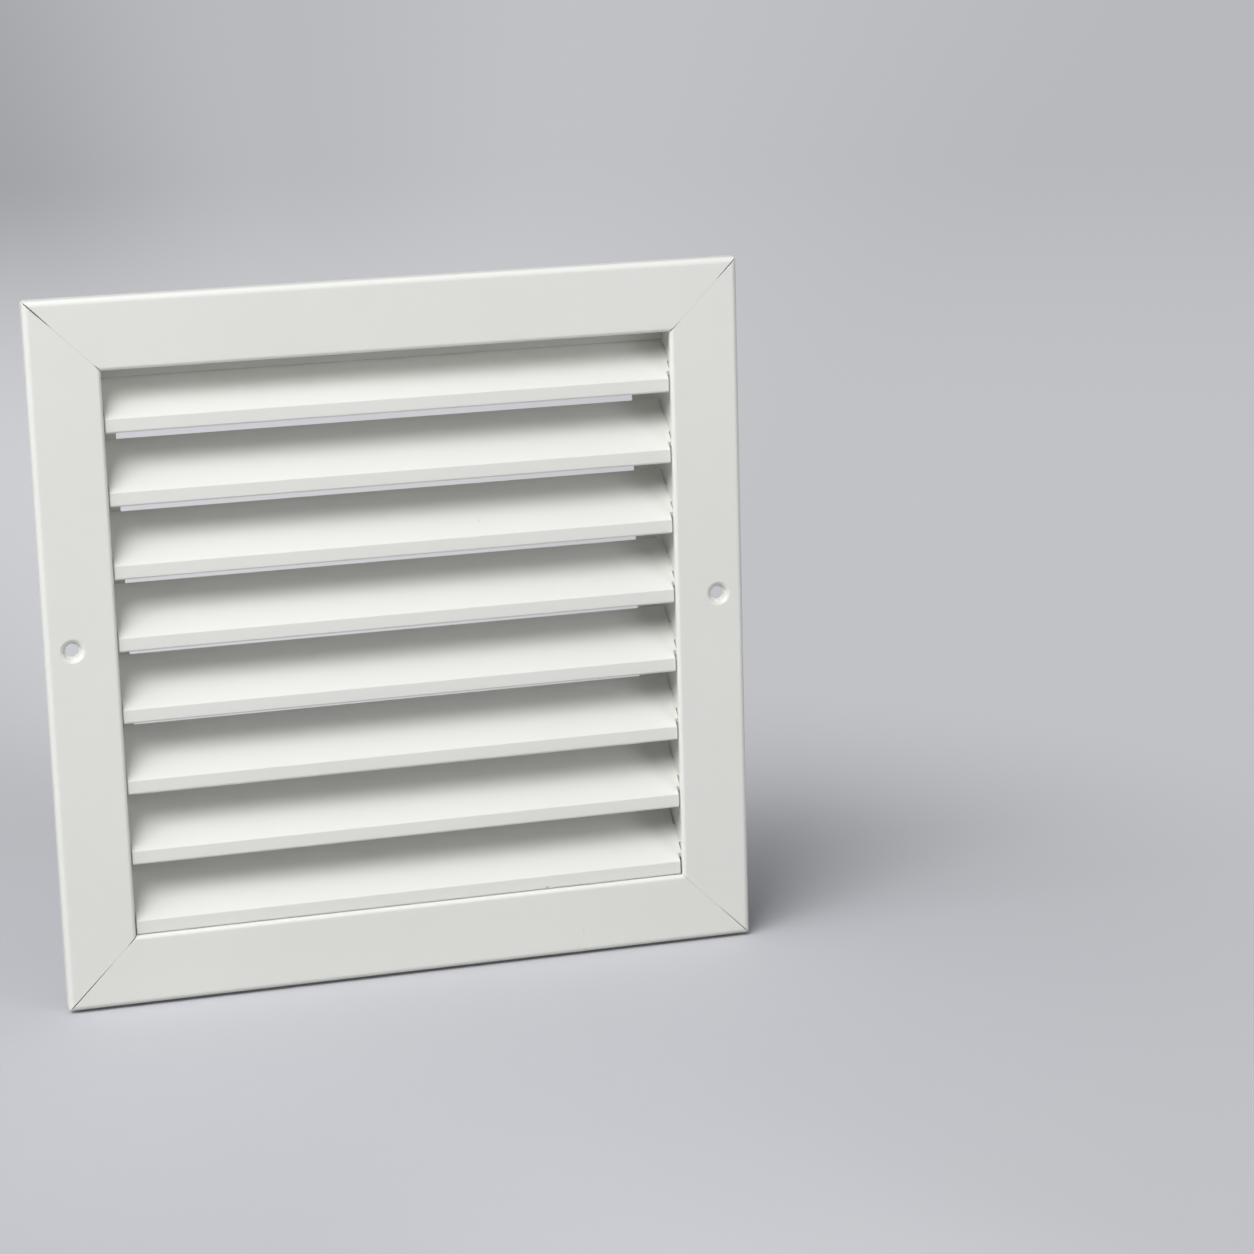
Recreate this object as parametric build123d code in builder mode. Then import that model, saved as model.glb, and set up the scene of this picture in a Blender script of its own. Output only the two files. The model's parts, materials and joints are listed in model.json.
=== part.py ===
from build123d import *
import math
import os

# A white aluminium return air grille: a mitred frame with a neck for the wall opening and fixed louvre blades.
# X runs across the grille, Y goes into the wall and Z is up. The wall plane is Y = 0 and the origin is the
# centre of the opening in it, so the face stands in front of the wall at negative Y.

# Frame section
opening = 200.0              # clear height and width between the inner beads
flange_width = 25.0          # face of each frame length, from bead to outer edge
flange_depth = 6.0           # wall plane to front plane
face_wall = 1.5
leg_wall = 1.5               # return leg that meets the wall
outer_radius = 2.1
bead_depth = 2.8             # front plane to the back of the inner bead
bead_radius = 1.4
bead_back_radius = 0.5
bead_overhang = 1.3          # bead inwards of the side rails' faces
neck_wall = 1.4
neck_depth = 28.0            # front plane to the rear edge of the neck
inside_corner_radius = 0.6
mitre_clearance = 0.04       # each cut face to the true diagonal

# Corner keys in their channel behind the face
key_wall = 1.5
key_leg = 40.0               # outer corner to the end of a leg
key_clearance = 0.1
key_corner_radius = 3.0
key_end_chamfer = 1.5
lip_wall = 1.0
lip_reach = 1.5
rib_wall = 1.0
rib_gap = 1.3                # channel rib to the return leg

# Pressed screw holes, one near mid-height of each side
screw_edge_distance = 9.4    # outer edge to hole centre
screw_rise = 4.3             # hole centre above mid-height
screw_hole_diameter = 4.5
dimple_diameter = 8.0
dimple_shoulder_bevel = 0.6
dimple_land_diameter = 6.2
dimple_land_depth = 1.6      # front plane to the outer rim of the land
dimple_hole_depth = 1.8      # front plane to the hole's rim
dimple_wall = 1.0

# Louvre blades
blade_pitch = 25.45
blade_wall = 1.2
blade_slope = 40.0           # degrees above the horizontal, rising to the rear
nose_depth = 1.5             # front plane to the nose's face
nose_height = 5.0
nose_top_radius = 0.5
nose_bottom_radius = 0.9
nose_lip = 2.2               # nose face to the end of its bottom lip
blade_reach = 18.85          # nose face to the upper rear edge
blade_edge_radius = 0.3
blade_bend_radius = 0.8
foot_gap = 0.1               # last nose to the bottom bead
head_room = 1.8              # highest rear edge to the closing strip
nose_end_gap = 0.5           # nose end to the side bead
nose_cut_margin = 0.6        # cut-back of the nose behind its lip
plate_end_gap = 0.3          # plate end to the side rail
tab_width = 8.0
tab_clearance = 0.1

# Side rails and closing strip
rail_wall = 1.0
rail_front_gap = 0.3         # bead to the rail's front edge
rail_setback = 0.6           # rear leg to the rear edge of the neck
rail_rear_width = 8.3        # rear leg inwards of the rail's face
rail_bend_radius = 1.0
rail_end_clearance = 0.1
strip_wall = 1.0
strip_depth = 15.5           # front plane to the closing strip's face
strip_foot = 9.5
strip_bend_radius = 0.5
strip_clearance = 0.3        # strip's lower edge to the first blade
strip_end_clearance = 0.1

# Rivets through the neck
rivet_diameter = 3.2
rivet_clearance = 0.05
rivet_head_diameter = 5.6
rivet_head_height = 1.1
rivet_head_top_diameter = 2.6
rivet_tail_diameter = 4.4
rivet_tail_height = 1.2
rail_rivet_setback = 3.5     # rail's rear leg to its rivets
rail_rivet_spacing = 124.0
strip_rivet_setback = 6.0    # closing strip's face to its rivets
strip_rivet_spacing = 120.0

# Worked-out places
front = -flange_depth
half_opening = opening / 2
half_face = half_opening + flange_width
rail_face = half_opening + bead_overhang
neck_inner = rail_face + rail_wall
neck_outer = neck_inner + neck_wall
neck_rear = front + neck_depth
face_back = front + face_wall
bead_back = front + bead_depth
channel_lip = face_back + key_wall + key_clearance
rib_outer = half_face - leg_wall - rib_gap
rib_inner = rib_outer - rib_wall
key_inner = neck_outer + key_clearance
key_outer = rib_inner - key_clearance
screw_place = half_face - screw_edge_distance

slope = math.radians(blade_slope)
nose_face = front + nose_depth
blade_rise = blade_reach * math.tan(slope)
lowest_nose_top = -half_opening + foot_gap + nose_height
highest_nose_top = neck_inner - strip_wall - head_room - blade_rise
blade_count = 1 + math.floor((highest_nose_top - lowest_nose_top) / blade_pitch)
nose_tops = [lowest_nose_top + index * blade_pitch for index in reversed(range(blade_count))]

rail_front = bead_back + rail_front_gap
rail_rear = neck_rear - rail_setback - rail_wall
rail_inner = rail_face - rail_rear_width
strip_face = front + strip_depth
strip_back = strip_face + strip_wall
strip_under = neck_inner - strip_wall
rail_rivet_y = rail_rear - rail_rivet_setback
strip_rivet_y = strip_face + strip_rivet_setback
rail_rivet_places = [-rail_rivet_spacing / 2, rail_rivet_spacing / 2]
strip_rivet_places = [-strip_rivet_spacing / 2, strip_rivet_spacing / 2]


def blade_top(nose_top, y):
    """Height of a blade's upper surface at a place along Y."""
    return nose_top + (y - nose_face) * math.tan(slope)


def blade_middle(nose_top):
    """Centre of a blade's sloping plate, halfway through its thickness."""
    y = nose_face + blade_reach / 2 + math.sin(slope) * blade_wall / 2
    z = nose_top + blade_rise / 2 - math.cos(slope) * blade_wall / 2
    return (y, z)


def save(piece, name):
    """Name a finished piece and write it out."""
    piece.part.label = name
    export_step(piece.part, f"parts/{name}.step")


def frame_length(outward, rivet_y, rivet_places, has_screw_hole):
    """One mitred length of the frame section, on the side of the grille that outward points to."""
    along = outward.cross(Vector(0, 1, 0))
    section_plane = Plane(origin=(0, 0, 0), x_dir=outward, z_dir=along)
    outline = [
        (half_opening, front),
        (half_face, front),
        (half_face, 0),
        (half_face - leg_wall, 0),
        (half_face - leg_wall, face_back),
        (rib_outer, face_back),
        (rib_outer, channel_lip + lip_wall),
        (rib_inner - lip_reach, channel_lip + lip_wall),
        (rib_inner - lip_reach, channel_lip),
        (rib_inner, channel_lip),
        (rib_inner, face_back),
        (neck_outer, face_back),
        (neck_outer, channel_lip),
        (neck_outer + lip_reach, channel_lip),
        (neck_outer + lip_reach, channel_lip + lip_wall),
        (neck_outer, channel_lip + lip_wall),
        (neck_outer, neck_rear),
        (neck_inner, neck_rear),
        (neck_inner, bead_back),
        (half_opening, bead_back),
    ]
    rounded_corners = [
        ((half_opening, front), bead_radius),
        ((half_opening, bead_back), bead_back_radius),
        ((half_face, front), outer_radius),
        ((half_face - leg_wall, face_back), inside_corner_radius),
    ]
    with BuildPart() as length:
        with BuildSketch(section_plane) as section:
            with BuildLine():
                Polyline(*outline, close=True)
            make_face()
            for corner, radius in rounded_corners:
                fillet(section.vertices().sort_by_distance(corner)[0], radius)
        extrude(amount=half_face, both=True)
        for direction in (along, -along):
            cut_normal = outward + direction
            cut_start = cut_normal.normalized() * mitre_clearance
            split(bisect_by=Plane(origin=cut_start, z_dir=cut_normal), keep=Keep.TOP)
        if rivet_places:
            with BuildSketch(Plane(origin=outward * neck_inner, x_dir=along, z_dir=outward)):
                with Locations(*[(place, -rivet_y) for place in rivet_places]):
                    Circle(rivet_diameter / 2 + rivet_clearance)
            extrude(amount=neck_wall, mode=Mode.SUBTRACT)
        if has_screw_hole:
            screw_centre = outward * screw_place + Vector(0, 0, screw_rise)
            dimple_plane = Plane(origin=screw_centre, x_dir=outward, z_dir=along)
            dimple_axis = Axis(screw_centre, (0, 1, 0))
            dimple_back = front + dimple_hole_depth + dimple_wall
            with BuildSketch(dimple_plane):
                with BuildLine():
                    Polyline(
                        (0, front + face_wall / 2),
                        (dimple_diameter / 2 + dimple_wall, front + face_wall / 2),
                        (dimple_diameter / 2 + dimple_wall, face_back),
                        (dimple_land_diameter / 2 + dimple_wall, dimple_back),
                        (0, dimple_back),
                        close=True,
                    )
                make_face()
            revolve(axis=dimple_axis)
            with BuildSketch(dimple_plane):
                with BuildLine():
                    Polyline(
                        (0, front),
                        (dimple_diameter / 2, front),
                        (dimple_land_diameter / 2, front + dimple_land_depth),
                        (screw_hole_diameter / 2, front + dimple_hole_depth),
                        (screw_hole_diameter / 2, dimple_back),
                        (0, dimple_back),
                        close=True,
                    )
                make_face()
            revolve(axis=dimple_axis, mode=Mode.SUBTRACT)
            shoulder_point = screw_centre + outward * (dimple_diameter / 2) + Vector(0, front, 0)
            shoulder = length.edges().filter_by(GeomType.CIRCLE).sort_by_distance(shoulder_point)[0]
            chamfer(shoulder, dimple_shoulder_bevel)
    return length


def louvre_blade(nose_top):
    """One blade: an upright nose with a bottom lip, and a plate that slopes up to the rear."""
    across_wall = (math.sin(slope) * blade_wall, -math.cos(slope) * blade_wall)
    rear_upper = (nose_face + blade_reach, nose_top + blade_rise)
    rear_lower = (rear_upper[0] + across_wall[0], rear_upper[1] + across_wall[1])
    nose_back = nose_face + blade_wall
    bend = (nose_back, blade_top(nose_top, nose_back) - blade_wall / math.cos(slope))
    nose_bottom = nose_top - nose_height
    lip_top = nose_bottom + blade_wall
    lip_end = nose_face + nose_lip
    outline = [
        (nose_face, nose_top),
        rear_upper,
        rear_lower,
        bend,
        (nose_back, lip_top),
        (lip_end, lip_top),
        (lip_end, nose_bottom),
        (nose_face, nose_bottom),
    ]
    rounded_corners = [
        (outline[0], nose_top_radius),
        (rear_upper, blade_edge_radius),
        (rear_lower, blade_edge_radius),
        (bend, blade_bend_radius),
        ((lip_end, nose_bottom), blade_edge_radius),
        ((nose_face, nose_bottom), nose_bottom_radius),
    ]
    plate_half = rail_face - plate_end_gap
    nose_half = half_opening - nose_end_gap
    cut_depth = nose_lip + nose_cut_margin
    cut_height = nose_height + blade_rise
    with BuildPart() as blade:
        with BuildSketch(Plane.YZ) as section:
            with BuildLine():
                Polyline(*outline, close=True)
            make_face()
            for corner, radius in rounded_corners:
                fillet(section.vertices().sort_by_distance(corner)[0], radius)
        extrude(amount=plate_half, both=True)
        # The nose stops short of the side beads, and the plate runs on to the rails.
        for side in (-1, 1):
            cut_start = (side * nose_half, nose_face + cut_depth / 2, nose_bottom + cut_height / 2)
            with BuildSketch(Plane(origin=cut_start, x_dir=(0, 1, 0), z_dir=(side, 0, 0))):
                Rectangle(cut_depth, cut_height)
            extrude(amount=plate_half - nose_half, mode=Mode.SUBTRACT)
        # A tab at each end reaches through the rail's slot.
        with BuildSketch(Plane.YZ):
            with Locations(blade_middle(nose_top)):
                Rectangle(tab_width, blade_wall, rotation=blade_slope)
        extrude(amount=neck_inner - tab_clearance, both=True)
    return blade


def corner_key(side_x, side_z):
    """One flat L-shaped key in the channel behind the face, across a mitre."""
    leg_end = key_outer - key_leg
    outline = [
        (key_outer, key_outer),
        (leg_end, key_outer),
        (leg_end, key_inner),
        (key_inner, key_inner),
        (key_inner, leg_end),
        (key_outer, leg_end),
    ]
    placed = [(side_x * across, side_z * up) for across, up in outline]
    with BuildPart() as key:
        with BuildSketch(Plane.XZ.offset(-face_back)) as section:
            with BuildLine():
                Polyline(*placed, close=True)
            make_face()
            fillet(section.vertices().sort_by_distance(placed[0])[0], key_corner_radius)
            leg_corners = [section.vertices().sort_by_distance(placed[index])[0] for index in (1, 2, 4, 5)]
            chamfer(leg_corners, key_end_chamfer)
        extrude(amount=-key_wall)
    return key


os.makedirs("parts", exist_ok=True)

# Frame: four lengths of one section
with_strip = (strip_rivet_y, strip_rivet_places)
with_rail = (rail_rivet_y, rail_rivet_places)
save(frame_length(Vector(0, 0, 1), *with_strip, has_screw_hole=False), "frame_top")
save(frame_length(Vector(0, 0, -1), 0, [], has_screw_hole=False), "frame_bottom")
save(frame_length(Vector(-1, 0, 0), *with_rail, has_screw_hole=True), "frame_left")
save(frame_length(Vector(1, 0, 0), *with_rail, has_screw_hole=True), "frame_right")

for side_x, x_name in ((-1, "left"), (1, "right")):
    for side_z, z_name in ((-1, "bottom"), (1, "top")):
        save(corner_key(side_x, side_z), f"corner_key_{z_name}_{x_name}")

# Louvre blades, counted from the top
for number, nose_top in enumerate(nose_tops, start=1):
    save(louvre_blade(nose_top), f"blade_{number}")

# Side rails: angle strips inside the neck, slotted for the blades' tabs
rail_outline = [
    (neck_inner, rail_front),
    (rail_face, rail_front),
    (rail_face, rail_rear),
    (rail_inner, rail_rear),
    (rail_inner, rail_rear + rail_wall),
    (neck_inner, rail_rear + rail_wall),
]
with BuildPart() as side_rail_right:
    with BuildSketch(Plane.XY) as rail_section:
        with BuildLine():
            Polyline(*rail_outline, close=True)
        make_face()
        fillet(rail_section.vertices().sort_by_distance(rail_outline[2])[0], rail_bend_radius)
        fillet(rail_section.vertices().sort_by_distance(rail_outline[5])[0], rail_bend_radius + rail_wall)
    extrude(amount=neck_inner - rail_end_clearance, both=True)
    with BuildSketch(Plane.YZ.offset(rail_face)):
        with Locations(*[blade_middle(nose_top) for nose_top in nose_tops]):
            Rectangle(tab_width + 2 * tab_clearance, blade_wall + 2 * tab_clearance, rotation=blade_slope)
        with Locations(*[(rail_rivet_y, place) for place in rail_rivet_places]):
            Circle(rivet_diameter / 2 + rivet_clearance)
    extrude(amount=rail_wall, mode=Mode.SUBTRACT)
save(side_rail_right, "side_rail_right")

with BuildPart() as side_rail_left:
    mirror(side_rail_right.part, about=Plane.YZ)
save(side_rail_left, "side_rail_left")

# Closing strip: an angle under the top of the neck, its upright leg cut to the first blade's slope
strip_outline = [
    (strip_face, neck_inner),
    (strip_face + strip_foot, neck_inner),
    (strip_face + strip_foot, strip_under),
    (strip_back, strip_under),
    (strip_back, blade_top(nose_tops[0], strip_back) + strip_clearance),
    (strip_face, blade_top(nose_tops[0], strip_face) + strip_clearance),
]
with BuildPart() as top_closing_strip:
    with BuildSketch(Plane.YZ) as strip_section:
        with BuildLine():
            Polyline(*strip_outline, close=True)
        make_face()
        fillet(strip_section.vertices().sort_by_distance(strip_outline[3])[0], strip_bend_radius)
        fillet(strip_section.vertices().sort_by_distance(strip_outline[0])[0], strip_bend_radius + strip_wall)
    extrude(amount=rail_face - strip_end_clearance, both=True)
    with BuildSketch(Plane.XY.offset(strip_under)):
        with Locations(*[(place, strip_rivet_y) for place in strip_rivet_places]):
            Circle(rivet_diameter / 2 + rivet_clearance)
    extrude(amount=strip_wall, mode=Mode.SUBTRACT)
save(top_closing_strip, "top_closing_strip")

# Rivets: low heads outside the neck and set tails inside, one solid each
rivet_outline = [
    (0, rail_face - rivet_tail_height),
    (rivet_tail_diameter / 2, rail_face - rivet_tail_height),
    (rivet_tail_diameter / 2, rail_face),
    (rivet_diameter / 2, rail_face),
    (rivet_diameter / 2, neck_outer),
    (rivet_head_diameter / 2, neck_outer),
    (rivet_head_top_diameter / 2, neck_outer + rivet_head_height),
    (0, neck_outer + rivet_head_height),
]
with BuildPart() as one_rivet:
    with BuildSketch(Plane.XZ):
        with BuildLine():
            Polyline(*rivet_outline, close=True)
        make_face()
    revolve(axis=Axis.Z)

rivet_planes = []
for outward, rivet_y, places in (
    (Vector(1, 0, 0), rail_rivet_y, rail_rivet_places),
    (Vector(-1, 0, 0), rail_rivet_y, rail_rivet_places),
    (Vector(0, 0, 1), strip_rivet_y, strip_rivet_places),
):
    along = outward.cross(Vector(0, 1, 0))
    for place in places:
        rivet_planes.append(Plane(origin=along * place + Vector(0, rivet_y, 0), x_dir=along, z_dir=outward))
with BuildPart() as neck_rivets:
    with Locations(*rivet_planes):
        add(one_rivet.part)
save(neck_rivets, "neck_rivets")
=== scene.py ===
import json
import math

import bmesh
import bpy
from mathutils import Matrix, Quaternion, Vector


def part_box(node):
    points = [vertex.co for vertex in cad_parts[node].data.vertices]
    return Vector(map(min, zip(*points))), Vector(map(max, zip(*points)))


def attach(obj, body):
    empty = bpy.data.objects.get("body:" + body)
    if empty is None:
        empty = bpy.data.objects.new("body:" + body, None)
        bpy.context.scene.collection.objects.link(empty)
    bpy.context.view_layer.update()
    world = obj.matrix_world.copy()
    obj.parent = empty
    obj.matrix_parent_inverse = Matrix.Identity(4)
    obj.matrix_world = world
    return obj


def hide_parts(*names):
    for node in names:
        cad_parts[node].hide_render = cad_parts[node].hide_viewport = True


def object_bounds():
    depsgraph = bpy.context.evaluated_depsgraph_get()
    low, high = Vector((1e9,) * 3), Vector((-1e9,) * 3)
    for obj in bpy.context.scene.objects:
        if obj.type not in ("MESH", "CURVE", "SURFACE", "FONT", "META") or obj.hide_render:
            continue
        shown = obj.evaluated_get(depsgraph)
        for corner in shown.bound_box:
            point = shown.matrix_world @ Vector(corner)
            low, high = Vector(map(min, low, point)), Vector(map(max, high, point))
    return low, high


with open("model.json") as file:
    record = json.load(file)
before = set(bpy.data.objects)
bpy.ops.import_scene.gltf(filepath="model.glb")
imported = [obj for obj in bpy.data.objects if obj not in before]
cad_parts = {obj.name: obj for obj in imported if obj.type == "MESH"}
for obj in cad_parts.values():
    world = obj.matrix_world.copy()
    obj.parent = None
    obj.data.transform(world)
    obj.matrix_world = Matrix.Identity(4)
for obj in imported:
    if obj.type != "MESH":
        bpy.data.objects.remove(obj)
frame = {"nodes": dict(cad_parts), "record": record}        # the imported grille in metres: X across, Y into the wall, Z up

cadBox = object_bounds()     # its lowest point sets the floor's level
mm = 0.001               # the settings below are in millimetres
weldDistance = 1e-7      # metres
flatTolerance = 0.001    # millimetres
smooth = "SMOOTHSTEP"
mixFirst, mixSecond, mixResult = 6, 7, 2    # colour sockets of a Mix node
scene = bpy.context.scene


# Outlines and rings

def turned(vector, angle):
    cosine, sine = math.cos(angle), math.sin(angle)
    return Vector((vector.x * cosine - vector.y * sine, vector.x * sine + vector.y * cosine))


def roundedOutline(corners, stepDegrees=9):    # each corner is (across, depth, radius)
    outline = []
    for index, (across, depth, radius) in enumerate(corners):
        corner = Vector((across, depth))
        if radius == 0:
            outline.append(corner)
            continue
        before = (Vector(corners[index - 1][:2]) - corner).normalized()
        after = (Vector(corners[(index + 1) % len(corners)][:2]) - corner).normalized()
        half = before.angle(after) / 2
        centre = corner + (before + after).normalized() * (radius / math.sin(half))
        start = corner + before * (radius / math.tan(half)) - centre
        end = corner + after * (radius / math.tan(half)) - centre
        turn = math.atan2(start.x * end.y - start.y * end.x, start.dot(end))
        steps = max(2, math.ceil(abs(math.degrees(turn)) / stepDegrees))
        outline += [centre + turned(start, turn * step / steps) for step in range(steps + 1)]
    return outline


def insetPoint(before, here, after, distance):    # the material lies to the right of the outline
    first = (here - before).normalized()
    second = (after - here).normalized()
    firstNormal = Vector((first.y, -first.x))
    secondNormal = Vector((second.y, -second.x))
    return here + (firstNormal + secondNormal) * (distance / (1 + firstNormal.dot(secondNormal)))


def insetOutline(outline, distances):
    following = outline[1:] + outline[:1]
    return [insetPoint(outline[k - 1], outline[k], following[k], distances[k]) for k in range(len(outline))]


def addRing(mesh, points):
    return [mesh.verts.new(point) for point in points]


def joinRings(mesh, first, second, closed=True, skip=()):
    count = len(first)
    for index in range(count if closed else count - 1):
        if index not in skip:
            after = (index + 1) % count
            mesh.faces.new((first[index], first[after], second[after], second[index]))


def bevelSteps(width, count=3):    # a quarter round as (back from the end, inset) pairs
    angles = [math.pi / 2 * step / count for step in range(count + 1)]
    return [(width * (1 - math.sin(angle)), width * (1 - math.cos(angle))) for angle in angles]


# Objects

def newObject(name, mesh):
    bmesh.ops.remove_doubles(mesh, verts=mesh.verts, dist=weldDistance)
    bmesh.ops.recalc_face_normals(mesh, faces=mesh.faces)
    data = bpy.data.meshes.new(name)
    mesh.to_mesh(data)
    mesh.free()
    piece = bpy.data.objects.new(name, data)
    scene.collection.objects.link(piece)
    return piece


def plainMesh(piece):    # modifiers become a plain mesh
    graph = bpy.context.evaluated_depsgraph_get()
    shaped = piece.evaluated_get(graph)
    data = bpy.data.meshes.new_from_object(shaped, preserve_all_data_layers=True, depsgraph=graph)
    piece.modifiers.clear()
    piece.data = data
    data.name = piece.name


def smoothFaces(piece, sharpDegrees=40):
    piece.data.shade_smooth()
    piece.data.set_sharp_from_angle(angle=math.radians(sharpDegrees))
    weighted = piece.modifiers.new("flatFacesLead", "WEIGHTED_NORMAL")
    weighted.keep_sharp = True
    plainMesh(piece)


def runTree(piece, tree, values):    # values by the inputs' names, set before the first evaluation
    modifier = piece.modifiers.new(tree.name, "NODES")
    modifier.node_group = tree
    for item in tree.interface.items_tree:
        if item.in_out == "INPUT" and item.name in values:
            modifier[item.identifier] = values[item.name]
    piece.update_tag()
    bpy.context.view_layer.update()
    plainMesh(piece)


def addNode(tree, kind, values=None, **settings):
    node = tree.nodes.new(kind)
    for key, value in settings.items():
        setattr(node, key, value)
    for key, value in (values or {}).items():
        node.inputs[key].default_value = value
    return node


def newTree(name, kind, inputs, outputs):
    tree = bpy.data.node_groups.new(name, kind)
    for label, socketType in inputs:
        tree.interface.new_socket(label, in_out="INPUT", socket_type=socketType)
    for label, socketType in outputs:
        tree.interface.new_socket(label, in_out="OUTPUT", socket_type=socketType)
    return tree, tree.nodes.new("NodeGroupInput"), tree.nodes.new("NodeGroupOutput")


# Finishes

coatGrain = {              # scales are per metre
    "peelDetail": 2.0, "peelRoughness": 0.45,
    "gritScale": 5200.0, "gritDetail": 1.0, "gritShare": 0.22,
    "mottleScale": 16.0, "mottleDetail": 4.0, "mottleRoughness": 0.6,
    "toneSpan": (0.35, 0.65), "glossSpan": (0.3, 0.7),    # of the mottle, for the tones and the gloss
    "nibScale": 95.0, "nibCore": 0.012, "nibRim": 0.03, "nibRarity": 0.93,
}


def powderCoatGroup():    # orange peel, slow mottle and rare nibs of a sprayed and baked coat
    colour, number = "NodeSocketColor", "NodeSocketFloat"
    inputs = [("Tone", colour), ("Mottle Tone", colour), ("Nib Tone", colour), ("Peel Scale", number),
              ("Smoothest", number), ("Roughest", number)]
    tree, given, made = newTree("powderCoat", "ShaderNodeTree", inputs,
                                [("Colour", colour), ("Roughness", number), ("Height", number)])
    link = tree.links.new
    where = addNode(tree, "ShaderNodeTexCoord")
    peel = addNode(tree, "ShaderNodeTexNoise",
                   {"Detail": coatGrain["peelDetail"], "Roughness": coatGrain["peelRoughness"]})
    grit = addNode(tree, "ShaderNodeTexNoise",
                   {"Scale": coatGrain["gritScale"], "Detail": coatGrain["gritDetail"]})
    mottle = addNode(tree, "ShaderNodeTexNoise", {
        "Scale": coatGrain["mottleScale"], "Detail": coatGrain["mottleDetail"],
        "Roughness": coatGrain["mottleRoughness"],
    })
    cells = addNode(tree, "ShaderNodeTexVoronoi", {"Scale": coatGrain["nibScale"], "Randomness": 1.0})
    for texture in (peel, grit, mottle, cells):
        link(where.outputs["Object"], texture.inputs["Vector"])
    link(given.outputs["Peel Scale"], peel.inputs["Scale"])
    blend = addNode(tree, "ShaderNodeMix", data_type="RGBA")
    toneLow, toneHigh = coatGrain["toneSpan"]
    softened = addNode(tree, "ShaderNodeMapRange", {"From Min": toneLow, "From Max": toneHigh},
                       interpolation_type=smooth)
    link(mottle.outputs["Fac"], softened.inputs["Value"])
    link(softened.outputs["Result"], blend.inputs["Factor"])
    link(given.outputs["Tone"], blend.inputs[mixFirst])
    link(given.outputs["Mottle Tone"], blend.inputs[mixSecond])
    nibShape = addNode(tree, "ShaderNodeMapRange", {
        "From Min": coatGrain["nibCore"], "From Max": coatGrain["nibRim"], "To Min": 1.0, "To Max": 0.0,
    })
    link(cells.outputs["Distance"], nibShape.inputs["Value"])
    cellPick = addNode(tree, "ShaderNodeSeparateColor")
    link(cells.outputs["Color"], cellPick.inputs["Color"])
    rare = addNode(tree, "ShaderNodeMath", {1: coatGrain["nibRarity"]}, operation="GREATER_THAN")
    link(cellPick.outputs["Red"], rare.inputs[0])
    nibs = addNode(tree, "ShaderNodeMath", operation="MULTIPLY")
    link(nibShape.outputs["Result"], nibs.inputs[0])
    link(rare.outputs[0], nibs.inputs[1])
    speckled = addNode(tree, "ShaderNodeMix", data_type="RGBA")
    link(nibs.outputs[0], speckled.inputs["Factor"])
    link(blend.outputs[mixResult], speckled.inputs[mixFirst])
    link(given.outputs["Nib Tone"], speckled.inputs[mixSecond])
    link(speckled.outputs[mixResult], made.inputs["Colour"])
    glossLow, glossHigh = coatGrain["glossSpan"]
    gloss = addNode(tree, "ShaderNodeMapRange", {"From Min": glossLow, "From Max": glossHigh})
    link(mottle.outputs["Fac"], gloss.inputs["Value"])
    link(given.outputs["Smoothest"], gloss.inputs["To Min"])
    link(given.outputs["Roughest"], gloss.inputs["To Max"])
    link(gloss.outputs["Result"], made.inputs["Roughness"])
    relief = addNode(tree, "ShaderNodeMath", {1: coatGrain["gritShare"]}, operation="MULTIPLY_ADD")
    link(grit.outputs["Fac"], relief.inputs[0])
    link(peel.outputs["Fac"], relief.inputs[2])
    raised = addNode(tree, "ShaderNodeMath", operation="ADD")
    link(relief.outputs[0], raised.inputs[0])
    link(nibs.outputs[0], raised.inputs[1])
    link(raised.outputs[0], made.inputs["Height"])
    return tree


metalGrain = {
    "lineDetail": 3.0, "lineRoughness": 0.6, "cloudScale": 120.0, "cloudDetail": 3.0,
    "toneSpan": (0.12, 0.42), "dullest": 0.46, "brightest": 0.3,
}


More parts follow.
